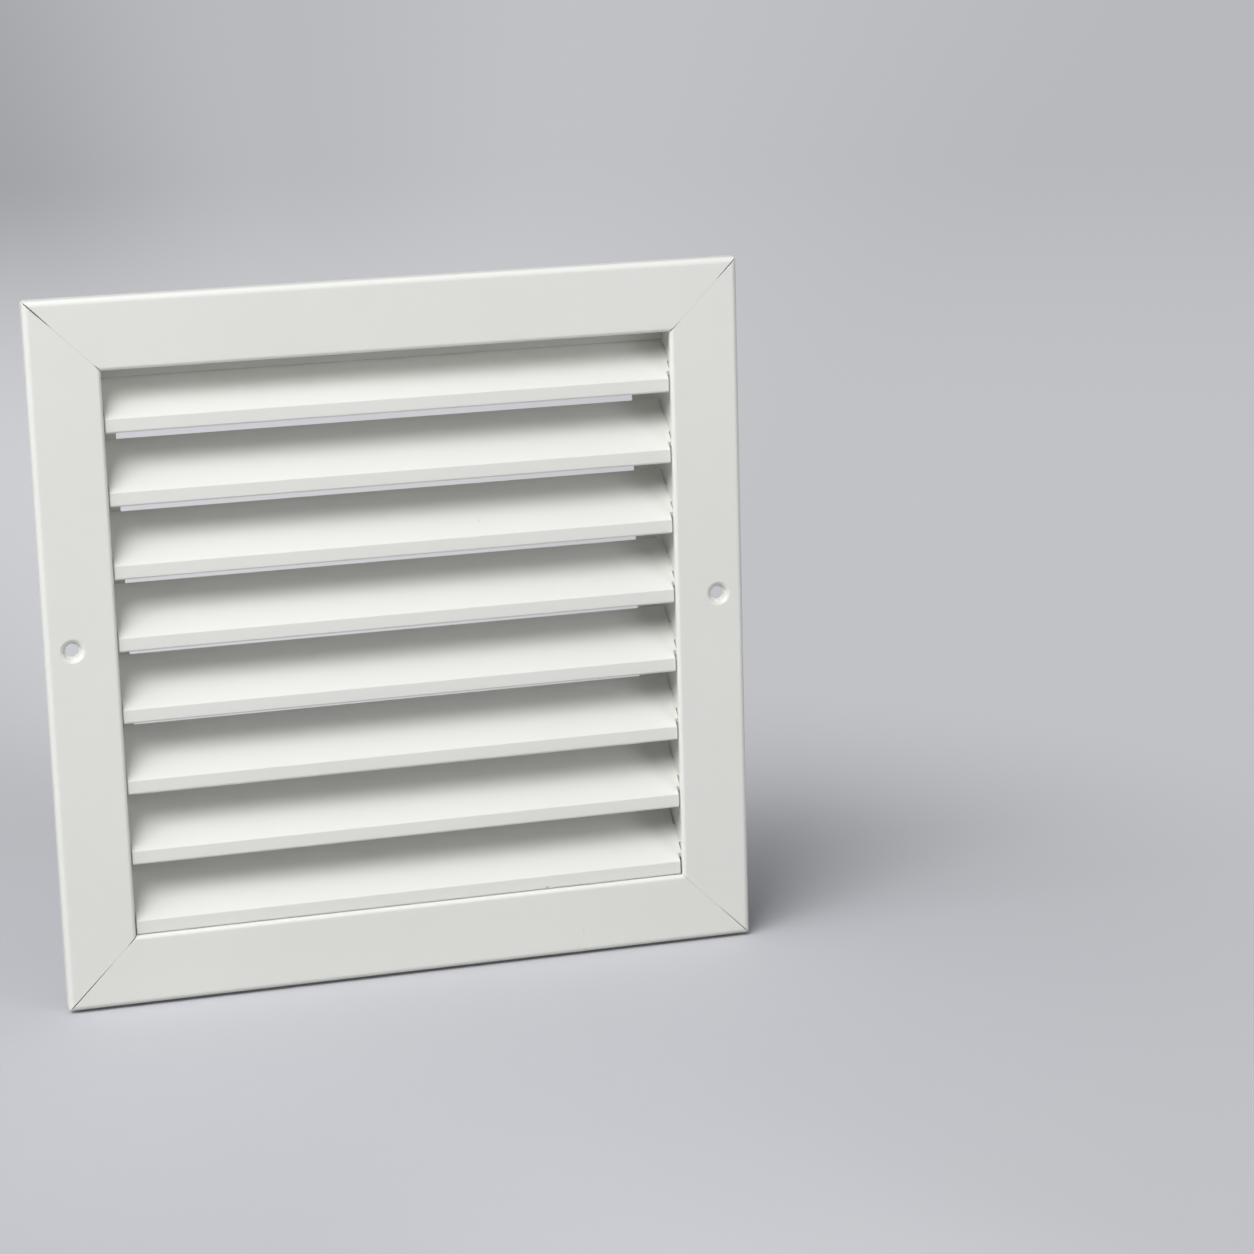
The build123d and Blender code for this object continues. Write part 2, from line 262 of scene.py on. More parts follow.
def drawnMetalGroup():    # fine lines along one axis, as rolled or drawn metal has
    colour, number = "NodeSocketColor", "NodeSocketFloat"
    tree, given, made = newTree("drawnMetal", "ShaderNodeTree",
                                [("Light", colour), ("Dark", colour), ("Line Spread", "NodeSocketVector")],
                                [("Colour", colour), ("Roughness", number), ("Height", number)])
    link = tree.links.new
    where = addNode(tree, "ShaderNodeTexCoord")
    stretch = addNode(tree, "ShaderNodeVectorMath", operation="MULTIPLY")
    link(where.outputs["Object"], stretch.inputs[0])
    link(given.outputs["Line Spread"], stretch.inputs[1])
    lines = addNode(tree, "ShaderNodeTexNoise", {
        "Scale": 1.0, "Detail": metalGrain["lineDetail"], "Roughness": metalGrain["lineRoughness"],
    })
    link(stretch.outputs[0], lines.inputs["Vector"])
    cloud = addNode(tree, "ShaderNodeTexNoise",
                    {"Scale": metalGrain["cloudScale"], "Detail": metalGrain["cloudDetail"]})
    link(where.outputs["Object"], cloud.inputs["Vector"])
    both = addNode(tree, "ShaderNodeMath", operation="MULTIPLY")
    link(lines.outputs["Fac"], both.inputs[0])
    link(cloud.outputs["Fac"], both.inputs[1])
    toneLow, toneHigh = metalGrain["toneSpan"]
    spread = addNode(tree, "ShaderNodeMapRange", {"From Min": toneLow, "From Max": toneHigh})
    link(both.outputs[0], spread.inputs["Value"])
    blend = addNode(tree, "ShaderNodeMix", data_type="RGBA")
    link(spread.outputs["Result"], blend.inputs["Factor"])
    link(given.outputs["Dark"], blend.inputs[mixFirst])
    link(given.outputs["Light"], blend.inputs[mixSecond])
    link(blend.outputs[mixResult], made.inputs["Colour"])
    dull = addNode(tree, "ShaderNodeMapRange",
                   {"To Min": metalGrain["dullest"], "To Max": metalGrain["brightest"]})
    link(spread.outputs["Result"], dull.inputs["Value"])
    link(dull.outputs["Result"], made.inputs["Roughness"])
    link(lines.outputs["Fac"], made.inputs["Height"])
    return tree


surfaceIor = 1.5


def finish(name, group, values, metallic, reliefDepth):
    material = bpy.data.materials.new(name)
    material.use_nodes = True
    tree = material.node_tree
    shader = tree.nodes["Principled BSDF"]
    shader.inputs["Metallic"].default_value = metallic
    shader.inputs["IOR"].default_value = surfaceIor
    effect = addNode(tree, "ShaderNodeGroup", node_tree=group)
    for key, value in values.items():
        effect.inputs[key].default_value = value
    bump = addNode(tree, "ShaderNodeBump", {"Strength": 1.0, "Distance": reliefDepth * mm})
    tree.links.new(effect.outputs["Colour"], shader.inputs["Base Color"])
    tree.links.new(effect.outputs["Roughness"], shader.inputs["Roughness"])
    tree.links.new(effect.outputs["Height"], bump.inputs["Height"])
    tree.links.new(bump.outputs["Normal"], shader.inputs["Normal"])
    return material


scuffs = {                 # each mark is its place, its half sizes and its strength
    "tone": (0.22, 0.22, 0.20, 1), "core": 0.3, "grainScale": 2400.0, "grainDetail": 2.0,
    "marks": (
        ((30.0, 0.5, 36.6), (0.6, 1.3, 1.3), 0.28),        # smear on the third blade
        ((30.2, -4.4, 32.2), (0.5, 0.5, 0.5), 0.35),       # nick on the edge of its nose
        ((49.0, -4.5, -99.1), (0.9, 0.5, 0.45), 1.00),     # dark spot at the foot of the lowest nose
        ((61.7, -6.0, -116.7), (0.3, 0.4, 1.9), 0.30),     # scratch on the lower frame length
    ),
}


def scuffGroup():    # strongest in the middle of each mark, broken up by a fine grain
    tree, _, made = newTree("scuffMarks", "ShaderNodeTree", [], [("Mask", "NodeSocketFloat")])
    link = tree.links.new
    where = addNode(tree, "ShaderNodeTexCoord")
    grain = addNode(tree, "ShaderNodeTexNoise",
                    {"Scale": scuffs["grainScale"], "Detail": scuffs["grainDetail"]})
    link(where.outputs["Object"], grain.inputs["Vector"])
    total = None
    for place, halfSizes, strength in scuffs["marks"]:
        offset = addNode(tree, "ShaderNodeVectorMath", {1: Vector(place) * mm}, operation="SUBTRACT")
        scaled = addNode(tree, "ShaderNodeVectorMath", {1: Vector(halfSizes) * mm}, operation="DIVIDE")
        away = addNode(tree, "ShaderNodeVectorMath", operation="LENGTH")
        spot = addNode(tree, "ShaderNodeMapRange",
                       {"From Min": scuffs["core"], "To Min": strength, "To Max": 0.0})
        link(where.outputs["Object"], offset.inputs[0])
        link(offset.outputs[0], scaled.inputs[0])
        link(scaled.outputs[0], away.inputs[0])
        link(away.outputs["Value"], spot.inputs["Value"])
        if total is None:
            total = spot.outputs["Result"]
            continue
        either = addNode(tree, "ShaderNodeMath", operation="MAXIMUM")
        link(total, either.inputs[0])
        link(spot.outputs["Result"], either.inputs[1])
        total = either.outputs[0]
    broken = addNode(tree, "ShaderNodeMath", operation="MULTIPLY")
    link(total, broken.inputs[0])
    link(grain.outputs["Fac"], broken.inputs[1])
    link(broken.outputs[0], made.inputs["Mask"])
    return tree


def addScuffs(material, group):
    tree = material.node_tree
    shader = tree.nodes["Principled BSDF"]
    clean = shader.inputs["Base Color"].links[0].from_socket
    marks = addNode(tree, "ShaderNodeGroup", node_tree=group)
    worn = addNode(tree, "ShaderNodeMix", data_type="RGBA")
    worn.inputs[mixSecond].default_value = scuffs["tone"]
    tree.links.new(marks.outputs["Mask"], worn.inputs["Factor"])
    tree.links.new(clean, worn.inputs[mixFirst])
    tree.links.new(worn.outputs[mixResult], shader.inputs["Base Color"])


powderCoat = powderCoatGroup()
drawnMetal = drawnMetalGroup()
scuffMarks = scuffGroup()

frameCoatLook = {
    "Tone": (0.784, 0.784, 0.740, 1), "Mottle Tone": (0.772, 0.772, 0.728, 1),
    "Nib Tone": (0.68, 0.68, 0.64, 1),
    "Peel Scale": 1150.0, "Smoothest": 0.29, "Roughest": 0.35,
}
bladeCoatLook = {
    "Tone": (0.784, 0.784, 0.740, 1), "Mottle Tone": (0.772, 0.772, 0.728, 1),
    "Nib Tone": (0.68, 0.68, 0.64, 1),
    "Peel Scale": 1300.0, "Smoothest": 0.31, "Roughest": 0.37,
}
railCoatLook = {
    "Tone": (0.790, 0.788, 0.750, 1), "Mottle Tone": (0.770, 0.768, 0.730, 1),
    "Nib Tone": (0.62, 0.62, 0.59, 1),
    "Peel Scale": 950.0, "Smoothest": 0.38, "Roughest": 0.46,
}
# The closing strip's coat is darker than the rails': painted shade for the shaded band under the top frame
# length.
stripPaintedShadeLook = {
    "Tone": (0.600, 0.598, 0.560, 1), "Mottle Tone": (0.580, 0.578, 0.540, 1),
    "Nib Tone": (0.50, 0.50, 0.47, 1),
    "Peel Scale": 950.0, "Smoothest": 0.42, "Roughest": 0.50,
}
keyMetalLook = {
    "Light": (0.62, 0.63, 0.64, 1), "Dark": (0.44, 0.45, 0.46, 1), "Line Spread": (60.0, 900.0, 2600.0),
}
rivetMetalLook = {
    "Light": (0.70, 0.71, 0.72, 1), "Dark": (0.50, 0.51, 0.52, 1), "Line Spread": (900.0, 900.0, 900.0),
}

frameCoat = finish("frameCoat", powderCoat, frameCoatLook, metallic=0.0, reliefDepth=0.006)
bladeCoat = finish("bladeCoat", powderCoat, bladeCoatLook, metallic=0.0, reliefDepth=0.005)
railCoat = finish("railCoat", powderCoat, railCoatLook, metallic=0.0, reliefDepth=0.008)
stripPaintedShadeCoat = finish("stripPaintedShadeCoat", powderCoat, stripPaintedShadeLook, metallic=0.0, reliefDepth=0.008)
keyMetal = finish("keyMetal", drawnMetal, keyMetalLook, metallic=1.0, reliefDepth=0.01)
rivetMetal = finish("rivetMetal", drawnMetal, rivetMetalLook, metallic=1.0, reliefDepth=0.006)
for coat in (frameCoat, bladeCoat):
    addScuffs(coat, scuffMarks)
print("finishes ready")


# Frame lengths: one rounded section, mitred, with pressed screw holes in the two upright lengths

rightLow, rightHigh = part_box("frame_right")
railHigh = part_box("side_rail_right")[1]
halfOpening, halfFace = rightLow.x / mm, rightHigh.x / mm
frontPlane, neckRear = rightLow.y / mm, rightHigh.y / mm
neckInner = railHigh.x / mm
screwMount = next(mount for mount in frame["record"]["mounts"] if mount["name"] == "screw_holes")
screwAcross = screwMount["dims"]["spacing_x_mm"] / 2
screwHeight = screwMount["pos_m"][2] / mm
screwRadius = screwMount["dims"]["hole_r_mm"]

section = {
    "faceWall": 1.5, "legWall": 1.5, "neckWall": 1.4, "beadDepth": 2.8,
    "outerRadius": 2.1, "beadRadius": 1.4, "beadBackRadius": 0.5, "legCornerRadius": 0.6,
    "edgeRadius": 0.25, "inCornerRadius": 0.15,
    "channelDepth": 1.6, "lipWall": 1.0, "lipReach": 1.5, "ribWall": 1.0, "ribGap": 1.3,
    "faceStep": 1.2,       # spacing of the points across the flat face, for the mitre gaps
    "cornerRadius": 1.3, "cornerDegrees": (45, 30, 15, 0),    # outer corners of the finished frame
}
dimple = {
    "mouthRadius": 4.2, "shoulderRadius": 0.9, "stepRadius": 3.3, "stepDepth": 0.6,
    "landRadius": 3.1, "landDepth": 1.75, "holeDepth": 1.8, "holeRound": 0.3,
    "wall": 1.0, "edgeRadius": 0.16, "steps": 72,
}
mitres = {                 # each corner: gap outside, share of the mitre it closes over, the same at the bead
    "hairline": 0.022, "depth": 1.4, "closing": 0.55,
    "closedRound": 0.028, "openRound": 0.12, "gapsPerRound": 3, "roundSteps": 2,
    "topLeft": (0.50, 0.36, 0.34, 0.10),
    "topRight": (0.50, 0.30, 0.36, 0.11),
    "bottomLeft": (0.48, 0.66, 0.50, 0.14),
    "bottomRight": (0.26, 0.46, 0.12, 0.10),
}


def sectionOutline():
    faceBack = frontPlane + section["faceWall"]
    lipFront = faceBack + section["channelDepth"]
    lipBack = lipFront + section["lipWall"]
    neckOuter = neckInner + section["neckWall"]
    legInner = halfFace - section["legWall"]
    ribOuter = legInner - section["ribGap"]
    ribInner = ribOuter - section["ribWall"]
    ribLip = ribInner - section["lipReach"]
    neckLip = neckOuter + section["lipReach"]
    beadBack = frontPlane + section["beadDepth"]
    edge, inner = section["edgeRadius"], section["inCornerRadius"]
    flatStart = halfOpening + section["beadRadius"]
    flatEnd = halfFace - section["outerRadius"]
    flatCount = round((flatEnd - flatStart) / section["faceStep"])
    flat = []
    for step in range(1, flatCount):
        flat.append((flatStart + (flatEnd - flatStart) * step / flatCount, frontPlane, 0))
    corners = [
        (halfOpening, beadBack, section["beadBackRadius"]),
        (neckInner, beadBack, inner),
        (neckInner, neckRear, edge),
        (neckOuter, neckRear, edge),
        (neckOuter, lipBack, inner),
        (neckLip, lipBack, edge),
        (neckLip, lipFront, edge),
        (neckOuter, lipFront, inner),
        (neckOuter, faceBack, inner),
        (ribInner, faceBack, inner),
        (ribInner, lipFront, inner),
        (ribLip, lipFront, edge),
        (ribLip, lipBack, edge),
        (ribOuter, lipBack, edge),
        (ribOuter, faceBack, inner),
        (legInner, faceBack, section["legCornerRadius"]),
        (legInner, 0, edge),
        (halfFace, 0, edge),
        (halfFace, frontPlane, section["outerRadius"]),
        *reversed(flat),
        (halfOpening, frontPlane, section["beadRadius"]),
    ]
    return roundedOutline(corners)


def mitreGap(corner, across, depth):    # full width of the joint, open at the face and shut behind it
    outer, outerShare, inner, innerShare = mitres[corner]
    place = (across - halfOpening) / (halfFace - halfOpening)
    atOuter = max(0.0, 1 - (1 - place) / outerShare) ** mitres["closing"]
    atInner = max(0.0, 1 - max(place, 0.0) / innerShare) ** mitres["closing"]
    shut = min(1.0, (depth - frontPlane) / mitres["depth"])
    return mitres["hairline"] + (outer * atOuter + inner * atInner) * (1 - shut)


def cutRound(gap):    # the saw-cut edges are rounder where the joint is open
    return min(mitres["openRound"], mitres["closedRound"] + gap / mitres["gapsPerRound"])


def tucked(across, lengthwise, radius, centre):    # outer corners drawn in to an arc
    over = Vector((max(0.0, across - centre), max(0.0, lengthwise - centre)))
    if min(over) == 0 or over.length <= radius:
        return across, lengthwise
    over *= radius / over.length
    return centre + over.x, centre + over.y


def dimpleRings():    # (radius, depth) from the face in through the hole and out to the back of the wall
    face, wall = frontPlane, dimple["wall"]
    holeBack = face + dimple["holeDepth"] + wall
    bossRadius = dimple["mouthRadius"] + wall
    corners = [
        (bossRadius + wall, face, 0),
        (dimple["mouthRadius"], face, dimple["shoulderRadius"]),
        (dimple["stepRadius"], face + dimple["stepDepth"], dimple["edgeRadius"]),
        (dimple["landRadius"], face + dimple["landDepth"], dimple["edgeRadius"]),
        (screwRadius, face + dimple["holeDepth"], dimple["holeRound"]),
        (screwRadius, holeBack, dimple["edgeRadius"]),
        (dimple["landRadius"] + wall, holeBack, dimple["edgeRadius"]),
        (bossRadius, face + section["faceWall"], 0),
    ]
    return roundedOutline(corners)[1:]


def frameLength(name, outward, hasScrewHole):
    outline = sectionOutline()
    count = len(outline)
    along = outward.cross(Vector((0, 1, 0)))
    mesh = bmesh.new()

    def place(point, lengthwise):
        return (outward * point.x + Vector((0, point.y, 0)) + along * lengthwise) * mm

    def cornerName(end):
        spot = outward + along * end
        return ("top" if spot.z > 0 else "bottom") + ("Right" if spot.x > 0 else "Left")

    def endRings(end):
        corner = cornerName(end)
        radius = section["cornerRadius"]
        arcCentre = halfFace - radius
        gaps = [mitreGap(corner, point.x, point.y) for point in outline]
        rounds = [cutRound(gap) for gap in gaps]
        rings = []

        def ring(points, stops, insets):
            spots = []
            for point, stop, inset in zip(points, stops, insets):
                across, lengthwise = tucked(point.x, stop, radius - inset, arcCentre)
                spots.append(place(Vector((across, point.y)), end * lengthwise))
            rings.append(addRing(mesh, spots))

        for back, inset in reversed(bevelSteps(1, mitres["roundSteps"])):
            insets = [inset * size for size in rounds]
            points = insetOutline(outline, insets)
            cut = [points[k].x - (gaps[k] / 2 + back * rounds[k]) * math.sqrt(2) for k in range(count)]
            ring(points, cut, insets)
        for degrees in section["cornerDegrees"]:
            limit = arcCentre + radius * math.sin(math.radians(degrees))
            ring(outline, [min(limit, stop) for stop in cut], [0] * count)
        for first, second in zip(rings, rings[1:]):
            joinRings(mesh, first, second)
        mesh.faces.new(rings[0])
        return rings[-1]

    low, high = endRings(-1), endRings(1)
    if not hasScrewHole:
        joinRings(mesh, low, high)
        return newObject(name, mesh)

    centre = screwHeight * along.z
    faceBack = frontPlane + section["faceWall"]
    openStrips = {}    # strips of the section that the dimple passes through, by depth
    for depth in (frontPlane, faceBack):
        openStrips[depth] = []
        for k in range(count):
            before, here = outline[k - 1], outline[k]
            isFlat = max(abs(before.y - depth), abs(here.y - depth)) < flatTolerance
            if isFlat and (depth == frontPlane or abs(before.x - here.x) > screwRadius):
                openStrips[depth].append((k - 1) % count)
    skipped = {k for strips in openStrips.values() for k in strips}
    middle = addRing(mesh, [place(point, centre) for point in outline])
    joinRings(mesh, low, middle, skip=skipped)
    joinRings(mesh, middle, high, skip=skipped)

    steps = dimple["steps"]
    rings = []
    for ring in dimpleRings():
        angles = [2 * math.pi * step / steps for step in range(steps)]
        spots = []
        for angle in angles:
            across, lengthwise = screwAcross + ring.x * math.cos(angle), centre + ring.x * math.sin(angle)
            spots.append(place(Vector((across, ring.y)), lengthwise))
        rings.append(addRing(mesh, spots))
    for first, second in zip(rings, rings[1:]):
        joinRings(mesh, first, second)

    for depth, ring in ((frontPlane, rings[0]), (faceBack, rings[-1])):
        chain = openStrips[depth] + [(openStrips[depth][-1] + 1) % count]
        if outline[chain[0]].x > outline[chain[-1]].x:
            chain = chain[::-1]    # from the bead outwards
        outerEnd, innerEnd = middle[chain[-1]], middle[chain[0]]
        above = [ring[step] for step in range(steps // 2 + 1)]
        below = [ring[-step % steps] for step in range(steps // 2 + 1)]
        mesh.faces.new([high[k] for k in chain] + [outerEnd] + above + [innerEnd])
        mesh.faces.new([low[k] for k in chain] + [outerEnd] + below + [innerEnd])
        spare = [middle[k] for k in chain[1:-1]]
        for vertex in spare:
            mesh.verts.remove(vertex)
    return newObject(name, mesh)


frameSides = {
    "top": (Vector((0, 0, 1)), False), "bottom": (Vector((0, 0, -1)), False),
    "left": (Vector((-1, 0, 0)), True), "right": (Vector((1, 0, 0)), True),
}
for side, (outward, hasScrewHole) in frameSides.items():
    length = frameLength(f"frame_length_{side}", outward, hasScrewHole)
    smoothFaces(length)
    length.data.materials.append(frameCoat)
    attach(length, "root")
    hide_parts(f"frame_{side}")
    print("frame length", side, len(length.data.polygons), "faces")


# Louvre blades: one blade, stacked by a tree

bladeLow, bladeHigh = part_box("blade_1")
bladeNodes = [name for name in frame["nodes"] if name.startswith("blade_")]
bladeNodes.sort(key=lambda name: int(name.split("_")[1]))
bladePitch = (bladeLow.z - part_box(bladeNodes[-1])[0].z) / (len(bladeNodes) - 1) / mm
blade = {
    "wall": 1.2, "slope": math.radians(40), "reach": 18.45, "noseHeight": 5.0, "noseLip": 2.2,
    "noseTopRadius": 0.5, "noseBottomRadius": 0.9, "edgeRadius": 0.3, "bendRadius": 0.8,
    "noseEndGap": 0.5, "noseCutMargin": 0.6, "railWall": 1.0, "plateEndGap": 0.5,
    "tabWidth": 8.0, "tabThinning": 0.06,
    "tabMiddle": 9.425,                       # nose face to the middle of the rails' slots
    "noseBevel": 0.28, "plateBevel": 0.2,     # both stay under the edge radius
}


def bladeSection():    # (depth, height) from the nose's top, and where the cut-back line meets the underside
    wall, slope = blade["wall"], blade["slope"]
    noseFace = bladeLow.y / mm
    noseBack = noseFace + wall
    noseBottom = -blade["noseHeight"]
    lipTop, lipEnd = noseBottom + wall, noseFace + blade["noseLip"]
    cut = lipEnd + blade["noseCutMargin"]
    under = wall / math.cos(slope)
    rearUpper = (noseFace + blade["reach"], blade["reach"] * math.tan(slope))
    rearLower = (rearUpper[0] + math.sin(slope) * wall, rearUpper[1] - math.cos(slope) * wall)
    cutUpper = (cut, (cut - noseFace) * math.tan(slope))
    cutLower = (cut, cutUpper[1] - under)
    edge = blade["edgeRadius"]
    corners = [
        (*cutUpper, 0),
        (*rearUpper, edge),
        (*rearLower, edge),
        (*cutLower, 0),
        (noseBack, wall * math.tan(slope) - under, blade["bendRadius"]),
        (noseBack, lipTop, 0),
        (lipEnd, lipTop, 0),
        (lipEnd, noseBottom, edge),
        (noseFace, noseBottom, blade["noseBottomRadius"]),
        (noseFace, 0, blade["noseTopRadius"]),
    ]
    outline = roundedOutline(corners)
    lowerIndex = min(range(len(outline)), key=lambda k: (outline[k] - Vector(cutLower)).length)
    return outline, lowerIndex


def insetChain(chain, distance):    # the chain's ends slide along the cut-back line
    slide = distance / math.cos(blade["slope"])
    inner = [insetPoint(chain[k - 1], chain[k], chain[k + 1], distance) for k in range(1, len(chain) - 1)]
    towards = 1 if chain[-1].y > chain[0].y else -1
    return [chain[0] + Vector((0, towards * slide)), *inner, chain[-1] - Vector((0, towards * slide))]


def oneBlade():
    outline, lowerIndex = bladeSection()
    noseHalf = halfOpening - blade["noseEndGap"]
    railFace = neckInner - blade["railWall"]
    plateHalf = railFace - blade["plateEndGap"]
    tabEnd = bladeHigh.x / mm
    mesh = bmesh.new()

    def across(points, x):
        return addRing(mesh, [Vector((x, point.x, point.y)) * mm for point in points])

    def roundedEnd(chain, start, half, bevel, side, runsOn):    # carries an open chain to its closed end
        rows = [start]
        if runsOn:
            rows.append(across(chain, side * (half - bevel)))
        for back, inset in bevelSteps(bevel)[1:]:
            rows.append(across(insetChain(chain, inset), side * (half - back)))
        for first, second in zip(rows, rows[1:]):
            joinRings(mesh, first, second, closed=False)
        mesh.faces.new(rows[-1])
        return rows

    ends = []
    for side in (-1, 1):
        full = across(outline, side * (noseHalf - blade["noseBevel"]))
        ends.append(full)
        plateChain = outline[:lowerIndex + 1]
        noseChain = outline[lowerIndex:] + outline[:1]
        plateStart, noseStart = full[:lowerIndex + 1], full[lowerIndex:] + full[:1]
        plateRows = roundedEnd(plateChain, plateStart, plateHalf, blade["plateBevel"], side, runsOn=True)
        noseRows = roundedEnd(noseChain, noseStart, noseHalf, blade["noseBevel"], side, runsOn=False)
        wall = [row[0] for row in plateRows] + [row[-1] for row in reversed(plateRows)]
        wall += [row[0] for row in noseRows[1:]] + [row[-1] for row in reversed(noseRows[1:])]
        mesh.faces.new(wall)
        middle = (Vector((bladeLow.y / mm, 0)) + Vector((1, math.tan(blade["slope"]))) * blade["tabMiddle"]
                  + turned(Vector((0, -blade["wall"] / 2)), blade["slope"]))
        halfWidth, halfWall = blade["tabWidth"] / 2, blade["wall"] / 2 - blade["tabThinning"]
        tabCorners = [(-halfWidth, -halfWall), (halfWidth, -halfWall),
                      (halfWidth, halfWall), (-halfWidth, halfWall)]
        tab = [middle + turned(Vector(corner), blade["slope"]) for corner in tabCorners]
        inner, outer = across(tab, side * plateHalf), across(tab, side * tabEnd)
        joinRings(mesh, inner, outer)
        mesh.faces.new(inner)
        mesh.faces.new(outer)
    joinRings(mesh, *ends)
    return newObject("louvre_blades", mesh)


def bladeStackTree():
    tree, given, made = newTree("bladeStack", "GeometryNodeTree", [
        ("Blade", "NodeSocketGeometry"), ("Blade Count", "NodeSocketInt"), ("Pitch", "NodeSocketFloat"),
        ("Top Nose Height", "NodeSocketFloat"), ("Coat", "NodeSocketMaterial"),
    ], [("Blades", "NodeSocketGeometry")])
    link = tree.links.new
    down = addNode(tree, "ShaderNodeMath", {1: -1.0}, operation="MULTIPLY")
    step, first = addNode(tree, "ShaderNodeCombineXYZ"), addNode(tree, "ShaderNodeCombineXYZ")
    rows = addNode(tree, "GeometryNodeMeshLine", mode="OFFSET")
    stack = addNode(tree, "GeometryNodeInstanceOnPoints")
    real = addNode(tree, "GeometryNodeRealizeInstances")
    coat = addNode(tree, "GeometryNodeSetMaterial")
    link(given.outputs["Pitch"], down.inputs[0])
    link(down.outputs[0], step.inputs["Z"])
    link(given.outputs["Top Nose Height"], first.inputs["Z"])
    link(given.outputs["Blade Count"], rows.inputs["Count"])
    link(first.outputs[0], rows.inputs["Start Location"])
    link(step.outputs[0], rows.inputs["Offset"])
    link(rows.outputs[0], stack.inputs["Points"])
    link(given.outputs["Blade"], stack.inputs["Instance"])
    link(stack.outputs[0], real.inputs["Geometry"])
    link(real.outputs[0], coat.inputs["Geometry"])
    link(given.outputs["Coat"], coat.inputs["Material"])
    link(coat.outputs[0], made.inputs["Blades"])
    return tree


blades = oneBlade()
runTree(blades, bladeStackTree(), {
    "Blade Count": len(bladeNodes), "Pitch": bladePitch * mm,
    "Top Nose Height": bladeLow.z + blade["noseHeight"] * mm, "Coat": bladeCoat,
})
smoothFaces(blades)
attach(blades, "root")
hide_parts(*bladeNodes)
print("blades", len(bladeNodes), "at pitch", round(bladePitch, 2), "mm,", len(blades.data.polygons), "faces")


# Rivets: domed heads outside the neck, set tails inside, placed by a tree

rivetLow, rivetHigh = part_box("neck_rivets")
rivet = {
    "headRadius": 2.8, "headRim": 0.22, "shankRadius": 1.6, "tailRadius": 2.2, "tailHeight": 1.2,
    "pinRadius": 0.85, "pinDepth": 0.35, "pinTaper": 0.12, "tailChamfer": 0.36,
    "domeSteps": 7, "steps": 40, "stripSpacing": 120.0,
}


def oneRivet():    # turned about Z, with Z counted from the grille's middle
    railFace = neckInner - blade["railWall"]
    neckOuter = neckInner + section["neckWall"]
    headTop = rivetHigh.x / mm
    rim, headRadius, pinRadius = neckOuter + rivet["headRim"], rivet["headRadius"], rivet["pinRadius"]
    dome = []
    for step in range(rivet["domeSteps"] + 1):
        radius = headRadius + (pinRadius - headRadius) * step / rivet["domeSteps"]
        fall = ((radius - pinRadius) / (headRadius - pinRadius)) ** 2
        dome.append((radius, rim + (headTop - rim) * (1 - fall)))
    outline = [
        (pinRadius, railFace - rivet["tailHeight"] + rivet["pinDepth"]),
        (pinRadius, railFace - rivet["tailHeight"]),
        (rivet["tailRadius"] - rivet["tailChamfer"], railFace - rivet["tailHeight"]),
        (rivet["tailRadius"], railFace - rivet["tailHeight"] + rivet["tailChamfer"]),
        (rivet["tailRadius"], railFace),
        (rivet["shankRadius"], railFace),
        (rivet["shankRadius"], neckOuter),
        (headRadius, neckOuter),
        *dome,
        (pinRadius - rivet["pinTaper"], headTop - rivet["pinDepth"]),
    ]
    mesh = bmesh.new()
    angles = [2 * math.pi * step / rivet["steps"] for step in range(rivet["steps"])]
    rings = []
    for radius, height in outline:
        flatRing = [turned(Vector((radius, 0)), angle) for angle in angles]
        rings.append(addRing(mesh, [Vector((*spot, height)) * mm for spot in flatRing]))
    for first, second in zip(rings, rings[1:]):
        joinRings(mesh, first, second)
    mesh.faces.new(rings[0])
    mesh.faces.new(rings[-1])
    return newObject("neck_rivet_set", mesh)


def rivetRowsTree():
    tree, given, made = newTree("rivetRows", "GeometryNodeTree", [
        ("Rivet", "NodeSocketGeometry"),
        ("Rail Spacing", "NodeSocketFloat"), ("Rail Depth", "NodeSocketFloat"),
        ("Strip Spacing", "NodeSocketFloat"), ("Strip Depth", "NodeSocketFloat"),
        ("Metal", "NodeSocketMaterial"),
    ], [("Rivets", "NodeSocketGeometry")])
    link = tree.links.new
    join = addNode(tree, "GeometryNodeJoinGeometry")
    quarter = math.pi / 2
    rowKinds = (("Rail", "Z", (0, quarter, 0)), ("Rail", "Z", (0, -quarter, 0)), ("Strip", "X", (0, 0, 0)))
    for kind, axis, rotation in rowKinds:
        back = addNode(tree, "ShaderNodeMath", {1: -0.5}, operation="MULTIPLY")
        start, step = addNode(tree, "ShaderNodeCombineXYZ"), addNode(tree, "ShaderNodeCombineXYZ")
        row = addNode(tree, "GeometryNodeMeshLine", {"Count": 2}, mode="OFFSET")
        put = addNode(tree, "GeometryNodeInstanceOnPoints", {"Rotation": rotation})
        link(given.outputs[f"{kind} Spacing"], back.inputs[0])
        link(back.outputs[0], start.inputs[axis])
        link(given.outputs[f"{kind} Depth"], start.inputs["Y"])
        link(given.outputs[f"{kind} Spacing"], step.inputs[axis])
        link(start.outputs[0], row.inputs["Start Location"])
        link(step.outputs[0], row.inputs["Offset"])
        link(row.outputs[0], put.inputs["Points"])
        link(given.outputs["Rivet"], put.inputs["Instance"])
        link(put.outputs[0], join.inputs["Geometry"])
    real = addNode(tree, "GeometryNodeRealizeInstances")
    metal = addNode(tree, "GeometryNodeSetMaterial")
    link(join.outputs[0], real.inputs["Geometry"])
    link(real.outputs[0], metal.inputs["Geometry"])
    link(given.outputs["Metal"], metal.inputs["Material"])
    link(metal.outputs[0], made.inputs["Rivets"])
    return tree


